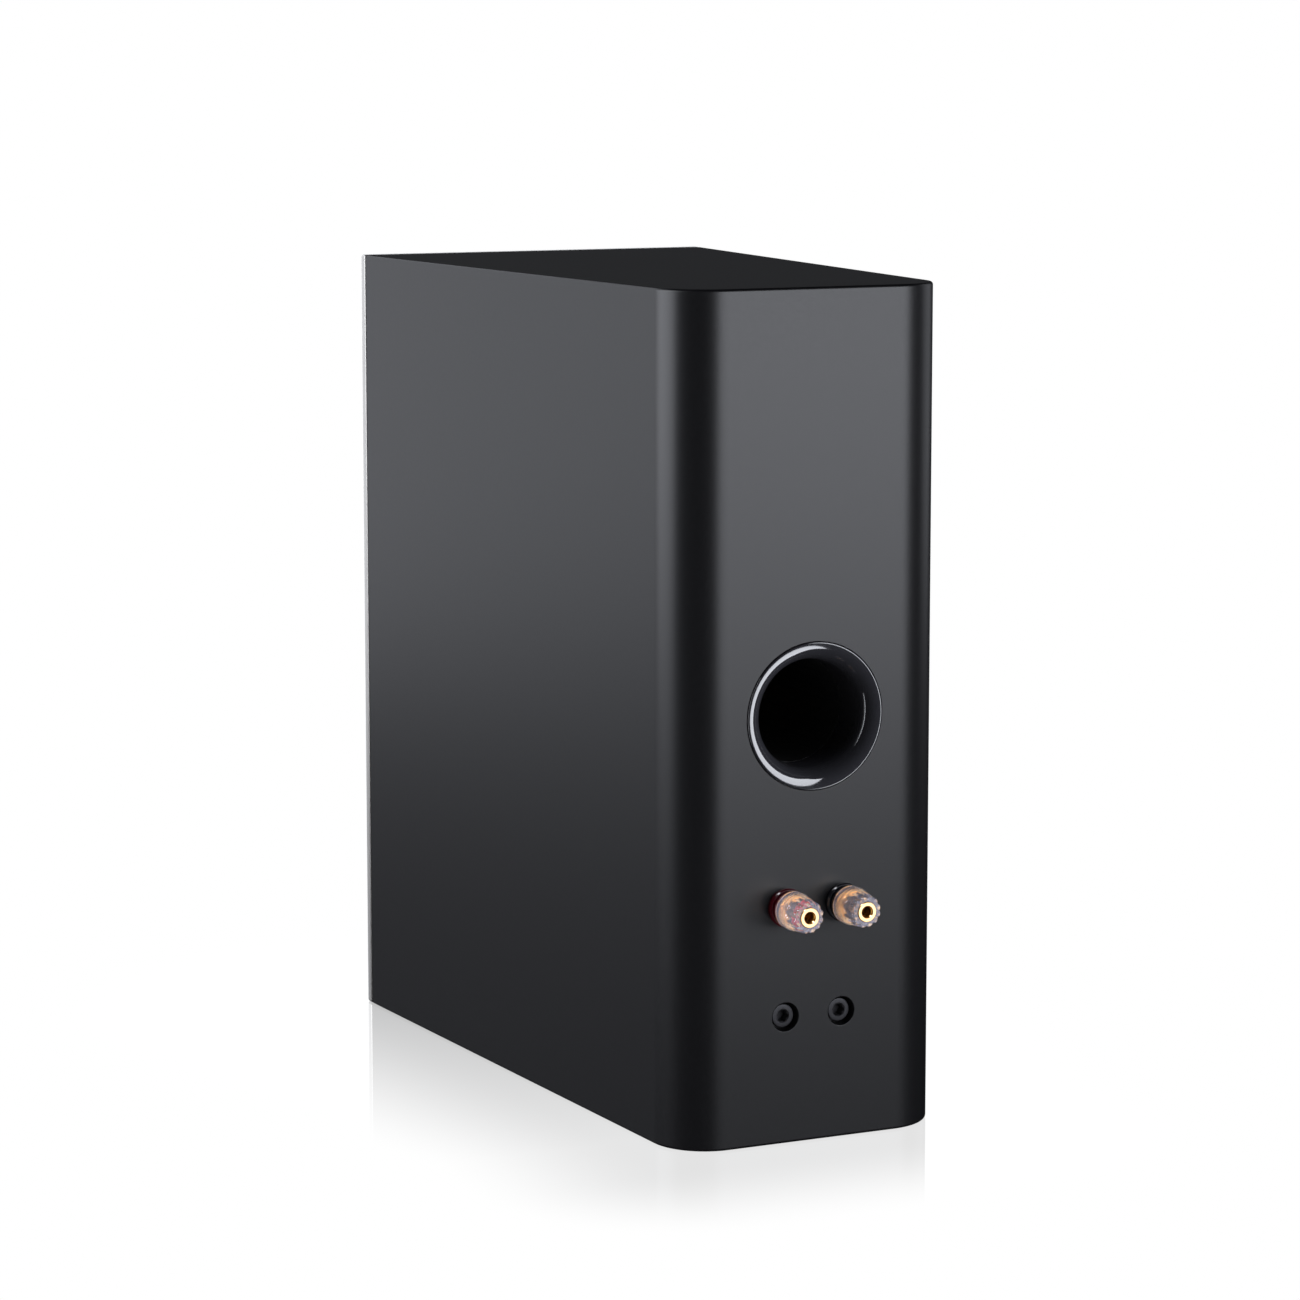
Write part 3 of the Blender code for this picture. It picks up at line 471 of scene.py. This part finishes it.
for side, tint, marking in (("red", red_plastic, marker_red), ("black", black_plastic, marker_black)):
    x, z = axis_of(side + "_terminal_base")
    centre = (x, REAR, z)
    post = side + "_terminal_"

    base = rounded([(3.3, -6, 0), (4.7, -6, 0.3), (4.7, 0.3, 0), (8.2, 0.3, 0.3), (8.3, 2.4, 0.4),
                    (7.7, 3.0, 0.3), (3.3, 3.0, 0)])
    fit(turned(post + "base_visual", base, centre), tint, "cabinet", side + "_plastic",
        post + "base")
    ring = rounded([(3.3, 4.7, 0), (7.9, 4.7, 0.4), (7.9, 6.6, 0.6), (3.3, 6.6, 0)])
    fit(turned(post + "clamp_ring_visual", ring, centre), tint, side + "_clamp",
        side + "_plastic", post + "clamp_ring")
    core = rounded([(3.3, 7.4, 0), (5.6, 7.4, 0.15), (5.6, 9.6, 0.15), (3.7, 9.6, 0.3),
                    (3.7, 18.6, 0), (4.3, 19.2, 0), (4.3, 22.5, 0.2), (4.0, 22.8, 0.1), (2.7, 22.8, 0.1),
                    (2.2, 22.1, 0.1), (2.2, 19.2, 0), (3.3, 19.2, 0)], 4)
    fit(turned(post + "knob_core_visual", core, centre, TEETH * 6, knurled), gold, side + "_knob",
        "gold_plate", post + "knob_core", crease=70)
    bars = rounded([(3.5, 16.8, 0.1), (4.8, 16.8, 0.1), (4.8, 17.7, 0.1), (3.5, 17.7, 0.1)], 2)
    fit(turned(post + "marker_ring_visual", bars, centre, FLUTES * 20, barred), marking,
        side + "_knob", side + "_plastic", post + "marker_ring")
    # the grip narrows in a straight line, in steps fine enough for its flutes to start softly
    grip = np.linspace((7.75, 11.9, 0), (6.8, 21.7, 0), 30)[1:]
    outside = [(8.1, 6.9, 0.25), (8.1, 10.6, 0.7), (7.75, 11.9, 0.5), *grip, (6.35, 22.3, 0.1)]
    inside_wall = [(4.2, 22.3, 0), (4.2, 19.3, 0), (3.5, 18.7, 0), (3.5, 9.5, 0), (5.1, 9.4, 0),
                   (5.1, 7.6, 0),
                   (6.9, 6.9, 0.1)]
    knob = rounded(outside + inside_wall, 6)
    fit(turned(post + "knob_visual", knob, centre, FLUTES * 20, fluted), clear, side + "_knob",
        "clear_plastic", post + "knob", crease=50)
    paint(gold, post + "stem", post + "nut")


# ---------------------------------------------------------------- socket screws
# Two M6 socket head screws in black oxide steel sit below the face in their counterbores, in
# zinc plated bushes that hold a wall bracket.
# Black oxide: almost black, a little oily, with a fine grain.
black_oxide = finish("black_oxide_steel", ("#303033", "#3c3c3f"), (0.36, 0.46), 0.5, 0.006,
                     Metallic=0.6)
# Bright zinc plating: pale grey metal with a slightly uneven sheen.
zinc = finish("zinc_plated_steel", ("#9a9c9f", "#b5b6b8"), (0.3, 0.42), 1.5, 0.003, Metallic=1.0)
KEY = 5                          # across the flats of the hexagon socket
for side, twist in (("left", 24), ("right", 27)):
    x, z = axis_of(side + "_mounting_bolt")
    centre = (x, REAR, z)
    screw = rounded([(0, -20, 0), (2.6, -20, 0.1), (3, -19.4, 0.1), (3, -8.5, 0.1),
                     (5, -8.5, 0.2), (5, -2.5, 0.45), (0, -2.5, 0)], 5)
    bolt = turned(side + "_mounting_bolt_visual", screw, centre)
    corner_angle = np.radians(np.arange(6) * 60 + twist)
    corner = KEY / math.sqrt(3)
    hexagon = np.stack([x + corner * np.sin(corner_angle), z + corner * np.cos(corner_angle),
                        np.full(6, 0.05)], -1)
    socket = slab(hexagon, REAR - 7.5, REAR + 1, 0.01, 4)[:, :, [0, 2, 1]]
    chamfer = turned("chamfer", np.array([(0, -2.9), (2.6, -2.9), (3.5, -2.0), (0, -2.0)]), centre)
    cut_away(bolt, solid("socket", socket, closed=False), chamfer)
    fit(bolt, black_oxide, "cabinet", "black_steel", side + "_mounting_bolt")
    paint(zinc, side + "_threaded_bush")


# ---------------------------------------------------------------- woofer
# A 130 mm bass and midrange unit: a painted cast basket, a half roll rubber surround, a coated
# cone with a matching dust cap, a corrugated cloth spider, and a ferrite magnet between two
# zinc plated steel plates. Surround and spider hold the moving parts to the fixed basket.
woofer_centre = (woofer_x, SEAM, woofer_z)


def skin(line, thickness):
    """A closed profile round an open line of (radius, depth): the line moved both ways along its
    normal (-dy, dr) by half the thickness."""
    along = np.gradient(line, axis=0)
    normal = np.stack([-along[:, 1], along[:, 0]], -1)
    normal /= np.linalg.norm(normal, axis=1, keepdims=True)
    return np.vstack([line + normal * thickness / 2, (line - normal * thickness / 2)[::-1]])


def hold(piece, outer, inner):
    """Lets a ring bend from the cabinet, at its outer radius, to the diaphragm, at its inner one.
    The share that moves is 3u^2 - 2u^3, where u runs from 0 to 1 between the two radii."""
    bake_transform(piece, "cabinet", "woofer_diaphragm",
             start=(woofer_x * MM, 0, (woofer_z + outer) * MM),
             end=(woofer_x * MM, 0, (woofer_z + inner) * MM))
    mesh = piece.data
    place = np.empty(len(mesh.vertices) * 3)
    mesh.vertices.foreach_get("co", place)
    place = place.reshape(-1, 3) / MM
    radius = np.hypot(place[:, 0] - woofer_x, place[:, 2] - woofer_z)
    u = np.clip((outer - radius) / (outer - inner), 0, 1)
    mesh.attributes["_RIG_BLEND"].data.foreach_set("value", u * u * (3 - 2 * u))


ROLL_MIDDLE = 49.6
ROLL_RADIUS = 4.2
ROLL_BASE = -0.55
half_turn = np.linspace(0, math.pi, 28)
roll = np.stack([ROLL_MIDDLE + ROLL_RADIUS * np.cos(half_turn),
                 ROLL_BASE - ROLL_RADIUS * np.sin(half_turn)], -1)
foot = np.linspace((57, ROLL_BASE), (54.4, ROLL_BASE), 4)
lap = np.linspace((45.0, -0.5), (42.8, -0.1), 4)
surround = turned("woofer_surround_visual", skin(np.vstack([foot, roll, lap]), 0.8),
                  woofer_centre, 160)
# Butyl rubber: black, slightly bloomed, with a dull sheen.
rubber = finish("butyl_rubber", ("#161617", "#1e1e1f"), (0.45, 0.55), 2.5, 0.004)
fit(surround, rubber, None, "surround_rubber", "woofer_surround")
hold(surround, 53.4, 45.4)

CONE_RIM, CONE_NECK = 42.6, 14.2                # radii
CONE_FRONT, CONE_DEPTH, CONE_BULGE = 1.6, 27.4, 0.28
# from rim to neck, u from 0 to 1: y = front + depth (u + bulge u (1 - u))
u = np.linspace(0, 1, 40)
cone_line = np.stack([CONE_RIM + (CONE_NECK - CONE_RIM) * u,
                      CONE_FRONT + CONE_DEPTH * (u + CONE_BULGE * u * (1 - u))], -1)
rim = np.linspace((45.2, 1.45), (43.2, 1.35), 4)
cone = turned("woofer_cone_visual", skin(np.vstack([rim, cone_line]), 1.2), woofer_centre, 160)
# Pressed paper pulp with a damping coat: charcoal, fibrous at a millimetre or so.
coated_paper = finish("coated_paper_cone", ("#26272a", "#34353a"), (0.42, 0.56), 1.1, 0.05)
fit(cone, coated_paper, "woofer_diaphragm", "cone_coating", "woofer_cone")

CAP_RADIUS, CAP_HEIGHT, CAP_RIM = 17.3, 6.0, 24.2
slope = np.linspace(math.pi / 2, 0, 24)
cap_front = np.stack([CAP_RADIUS * np.sin(slope), CAP_RIM - CAP_HEIGHT * np.cos(slope)], -1)
cap_back = cap_front[::-1] * (0.95, 1) + (0, 0.8)
cap = turned("woofer_dust_cap_visual", np.vstack([cap_front, cap_back]), woofer_centre, 128)
fit(cap, coated_paper, "woofer_diaphragm", "cone_coating", "woofer_dust_cap")

SPIDER_OUTER, SPIDER_INNER, SPIDER_DEPTH, WAVES = 37.0, 14.1, 36.0, 5
# sine waves 1 mm high across the ring, dying out over an eighth of it at both edges
u = np.linspace(0, 1, 120)
ripple = np.sin(u * WAVES * 2 * math.pi) * np.clip(np.minimum(u, 1 - u) * 8, 0, 1)
spider_line = np.stack([SPIDER_OUTER + (SPIDER_INNER - SPIDER_OUTER) * u, SPIDER_DEPTH + ripple], -1)
spider = turned("woofer_spider_visual", skin(spider_line, 0.6), woofer_centre, 96)
# Resin treated cotton, woven at about 1 mm: straw yellow and rough.
cloth = finish("treated_cotton", ("#8f7038", "#c09a55"), (0.85, 0.95), 0.8, 0.08, (3, 1, 1))
fit(spider, cloth, None, "spider_cloth", "woofer_spider")
hold(spider, 35.0, 16.0)

# Cast aluminium under black crackle paint.
painted_casting = finish("painted_casting", ("#111112", "#1a1a1b"), (0.5, 0.65), 1.2, 0.04)
paint(painted_casting, "woofer_basket")
paint(zinc, "woofer_top_plate", "woofer_pole_piece", "tweeter_pole_tip", "tweeter_pot",
      "tweeter_magnet")
# Sintered ferrite: dark grey, stony.
ferrite = finish("sintered_ferrite", ("#2c2c2d", "#3a3a3b"), (0.7, 0.85), 1.0, 0.03)
paint(ferrite, "woofer_magnet")
# Enamelled copper wire, 0.4 mm, wound in rings along the axis.
copper = finish("enamelled_copper", ("#7c3417", "#b5562a"), (0.25, 0.4), 0.4, 0.05, (0.1, 1, 0.1),
                Metallic=1.0)
paint(copper, "woofer_voice_coil", "tweeter_voice_coil", "crossover_inductor")
paint(black_oxide, *(f"woofer_screw_{n}" for n in (1, 2, 3, 4)),
      *(f"tweeter_screw_{n}" for n in (1, 2, 3)))


# ---------------------------------------------------------------- tweeter
# A 25 mm metal dome on a small rubber roll, at the bottom of a shallow moulded horn that evens
# its spread. Faceplate, pole, magnet and pot are clamped together behind it.
tweeter_centre = (tweeter_x, SEAM, tweeter_z)
faceplate = rounded([(14.4, 8.1, 0.15), (21, 4.9, 18), (31, 1.9, 30), (41.5, 0.3, 12),
                     (50, 0.3, 0.2), (50, 5, 0), (36, 5, 0), (36, 10.3, 0), (17.4, 10.3, 0),
                     (17.4, 8.5, 0), (14.4, 8.5, 0)], 8)
fit(turned("tweeter_faceplate_visual", faceplate, tweeter_centre, 160), matt_abs, "cabinet",
    "matt_black_plastic", "tweeter_faceplate")
DOME_RADIUS, DOME_HEIGHT, DOME_RIM = 12.9, 6.0, 9.9
slope = np.linspace(0, math.pi / 2, 24)
dome_front = np.stack([DOME_RADIUS * np.sin(slope), DOME_RIM - DOME_HEIGHT * np.cos(slope)], -1)
dome_back = dome_front[::-1] * (0.97, 1) + (0, 0.35)
dome = turned("tweeter_dome_visual", np.vstack([dome_front, dome_back]), tweeter_centre, 128)
# Drawn aluminium foil, clear anodised: fine concentric sheen.
foil = finish("anodised_aluminium_foil", ("#b9babd", "#c9cacd"), (0.2, 0.28), 0.8, 0.001,
              Metallic=1.0)
fit(dome, foil, "tweeter_diaphragm", "dome_aluminium", "tweeter_dome")
# The dome's rubber roll: half a sine wave, 0.55 mm high, from the dome out to the faceplate.
u = np.linspace(0, 1, 20)
small_roll = np.stack([12.95 + 3.85 * u, 9.75 - 0.55 * np.sin(math.pi * u)], -1)
fit(turned("tweeter_roll", skin(small_roll, 0.3), tweeter_centre, 128), rubber,
    "tweeter_diaphragm", "surround_rubber")


# ---------------------------------------------------------------- crossover and leads
# A small two-way filter on a glass fibre board on the cabinet floor: an air core coil, a film
# capacitor and a cement resistor. Insulated stranded leads join it to the posts and the units.
# Glass fibre board under green solder mask: smooth and half glossy.
board = finish("solder_masked_board", ("#0f3d1e", "#17512a"), (0.3, 0.4), 6.0, 0.02)
paint(board, "crossover_board")
# Polyester tape wound round the capacitor: amber, smooth.
film = finish("metallised_film_capacitor", ("#a8821e", "#c29a30"), (0.3, 0.4), 8.0, 0.01)
paint(film, "crossover_capacitor")
# Cast ceramic cement: chalky white, with a grain under a millimetre.
cement = finish("ceramic_cement", ("#cfc9bb", "#e2ddd0"), (0.85, 0.95), 0.8, 0.05)
paint(cement, "crossover_resistor")
# Extruded soft PVC: even colour with a dull sheen.
red_pvc = finish("red_pvc_insulation", ("#a01218", "#b41a20"), (0.4, 0.5), 3.0, 0.01)
paint(red_pvc, "red_input_lead", "tweeter_lead")
black_pvc = finish("black_pvc_insulation", ("#151516", "#1f1f20"), (0.4, 0.5), 3.0, 0.01)
paint(black_pvc, "black_input_lead", "woofer_lead")


# ---------------------------------------------------------------- studio
# A white floor and soft boxes in an otherwise dark room. The floor is glossy close to the
# cabinet, where it shows a mirror image, and fades to plain white further out.
def linked(light, objects, state="INCLUDE"):
    """Lets a lamp or a glowing sheet light only these objects, or all but these."""
    group = bpy.data.collections.new(light.name + "_receivers")
    for obj in objects:
        group.objects.link(obj)
    for item in group.collection_objects:
        item.light_linking.link_state = state
    light.light_linking.receiver_collection = group


def sheet(name, points, material):
    """A flat stage sheet through four corners, in metres."""
    mesh = bpy.data.meshes.new(name)
    mesh.from_pydata(points, [], [(0, 1, 2, 3)])
    mesh.materials.append(material)
    obj = bpy.data.objects.new(name, mesh)
    scene.collection.objects.link(obj)
    return obj


def glow(name, radiance):
    """A material that only shines."""
    material = bpy.data.materials.new(name)
    material.use_nodes = True
    material.node_tree.nodes.clear()
    emission = add(material.node_tree, "Emission", {"Strength": radiance})
    add(material.node_tree, "OutputMaterial", {"Surface": emission.outputs[0]})
    return material


floor_finish = bpy.data.materials.new("glossy_white_floor")
floor_finish.use_nodes = True
tree = floor_finish.node_tree
tree.nodes.clear()
spot = add(tree, "TexCoord", {})
# Distance in metres from the cabinet's footprint: the length of max(|p - centre| - half size, 0).
FOOTPRINT_CENTRE = (0, 0.0085, 0)
FOOTPRINT_HALF = (0.074, 0.149, 0)
shifted = add(tree, "VectorMath", {0: spot.outputs["Object"], 1: FOOTPRINT_CENTRE},
              operation="SUBTRACT")
folded = add(tree, "VectorMath", {0: shifted.outputs[0]}, operation="ABSOLUTE")
outside_box = add(tree, "VectorMath", {0: folded.outputs[0], 1: FOOTPRINT_HALF},
                  operation="SUBTRACT")
beyond = add(tree, "VectorMath", {0: outside_box.outputs[0], 1: (0, 0, 0)}, operation="MAXIMUM")
distance = add(tree, "VectorMath", {0: beyond.outputs[0]}, operation="LENGTH")
# Both the reach of the mirror image, in metres, and its strength fall from the front to the rear.
parts = add(tree, "SeparateXYZ", {0: spot.outputs["Object"]})
reach = add(tree, "MapRange", {0: parts.outputs["Y"], 1: -0.16, 2: 0.11, 3: 0.18, 4: 0.09})
fade = add(tree, "MapRange", {0: distance.outputs["Value"], 1: 0.0, 2: reach.outputs[0], 3: 1.0,
                              4: 0.0}, interpolation_type="SMOOTHSTEP")
share = add(tree, "MapRange", {0: parts.outputs["Y"], 1: -0.16, 2: 0.11, 3: 0.50, 4: 0.235})
mirror_share = add(tree, "Math", {0: fade.outputs[0], 1: share.outputs[0]}, operation="MULTIPLY")
white = add(tree, "Emission", {"Strength": 1.0})
mirror = add(tree, "BsdfGlossy", {"Color": (1, 1, 1, 1), "Roughness": 0.03})
floor_look = add(tree, "MixShader", {0: mirror_share.outputs[0], 1: white.outputs[0],
                                   2: mirror.outputs[0]})
add(tree, "OutputMaterial", {"Surface": floor_look.outputs[0]})
SWEEP = 12.0
floor = sheet("floor", [(-SWEEP, -SWEEP, 0), (SWEEP, -SWEEP, 0), (SWEEP, SWEEP, 0),
                        (-SWEEP, SWEEP, 0)], floor_finish)
floor.visible_glossy = False
floor.visible_shadow = False

# The white surroundings that only the floor mirrors: a sphere,
# x = R sin a cos b, y = R sin a sin b, z = R cos a.
SURROUNDINGS_RADIUS = 9000
a, b = np.meshgrid(np.linspace(0, math.pi, 13), np.linspace(0, 2 * math.pi, 24, endpoint=False))
sphere = SURROUNDINGS_RADIUS * np.stack([np.sin(a) * np.cos(b), np.sin(a) * np.sin(b), np.cos(a)], -1)
surroundings = solid("surroundings", sphere)
surroundings.data.materials.append(glow("white_surroundings", 1.0))
surroundings.visible_camera = False
surroundings.visible_diffuse = False
surroundings.visible_transmission = False
surroundings.visible_shadow = False
linked(surroundings, [floor])

world = bpy.data.worlds.new("studio")
scene.world = world
world.use_nodes = True
tree = world.node_tree
tree.nodes.clear()
path = add(tree, "LightPath", {})
strength = add(tree, "Mix", {0: path.outputs["Is Camera Ray"], 2: 0.09, 3: 1.0},
               data_type="FLOAT")
background = add(tree, "Background", {"Color": (1, 1, 1, 1), "Strength": strength.outputs[0]})
add(tree, "OutputWorld", {"Surface": background.outputs[0]})

scene.view_settings.view_transform = "Standard"


def soft_box(name, azimuth, distance, width, low, high, radiance, tint="#f4f7ff"):
    """An upright rectangular lamp, azimuth degrees round from +X towards +Y, facing the axis.
    Its power makes each square metre shine with the same radiance."""
    lamp = bpy.data.lights.new(name, "AREA")
    lamp.shape = "RECTANGLE"
    lamp.size, lamp.size_y = width, high - low
    lamp.energy = radiance * 4 * lamp.size * lamp.size_y
    lamp.color = linear(tint)[:3]
    obj = bpy.data.objects.new(name, lamp)
    scene.collection.objects.link(obj)
    angle = math.radians(azimuth)
    obj.location = (distance * math.cos(angle), distance * math.sin(angle), (low + high) / 2)
    obj.rotation_euler = (math.pi / 2, 0, angle + math.pi / 2)
    return obj


# Azimuth, distance, width, lower and upper edge, radiance. A key and a fill shape the left side,
# one light the rear face, and the weak bounces stand for light thrown up by the floor.
port = [flange]
posts = [o for o in scene.objects if "_terminal_" in o.name]
for box in (soft_box("side_key", -15.5, 1.6, 1.33, 0.0, 1.6, 3.4),
            soft_box("side_fill", -68, 1.5, 1.3, -0.06, 1.6, 0.78),
            soft_box("rear_light", 111, 1.6, 1.25, -0.05, 0.8, 3.7),
            soft_box("side_bounce", -68, 1.5, 1.3, -1.0, -0.06, 0.08),
            soft_box("rear_bounce", 111, 1.6, 1.25, -0.8, -0.05, 0.15),
            soft_box("far_fill", 185, 1.6, 0.9, 0.0, 1.2, 0.6),
            soft_box("front_fill", -112, 2.4, 2.2, 0.0, 1.8, 0.05)):
    linked(box, port + posts, "EXCLUDE")
# The glossy port takes a wide light for its crescent and a strip for the line across from it.
linked(soft_box("port_light", 130, 1.0, 0.5, -0.72, 1.3, 10.0), port)
linked(soft_box("port_strip", 10, 1.0, 0.14, -0.5, 1.05, 9.0), port)
# The binding posts are lit from all round, so that their gold and clear plastic glint.
linked(soft_box("post_rear_light", 112, 1.0, 1.2, -0.8, 1.0, 1.9), posts)
linked(soft_box("post_side_light", -10, 1.0, 0.35, -0.4, 1.2, 9.0), posts)
linked(soft_box("post_far_light", 190, 1.0, 0.8, -0.2, 1.0, 0.8), posts)
linked(soft_box("post_low_light", -90, 1.0, 0.7, -0.2, 1.0, 1.5), posts)
linked(soft_box("post_top_light", 45, 0.7, 0.6, 0.95, 1.35, 10.0), posts)
# The front plate and the drive units have a light of their own.
front = [o for o in scene.objects
         if o.name.startswith(("front_plate", "woofer", "tweeter")) and o.name.endswith("_visual")]
linked(soft_box("front_light", -96, 1.8, 2.0, -0.6, 1.7, 0.95), front)
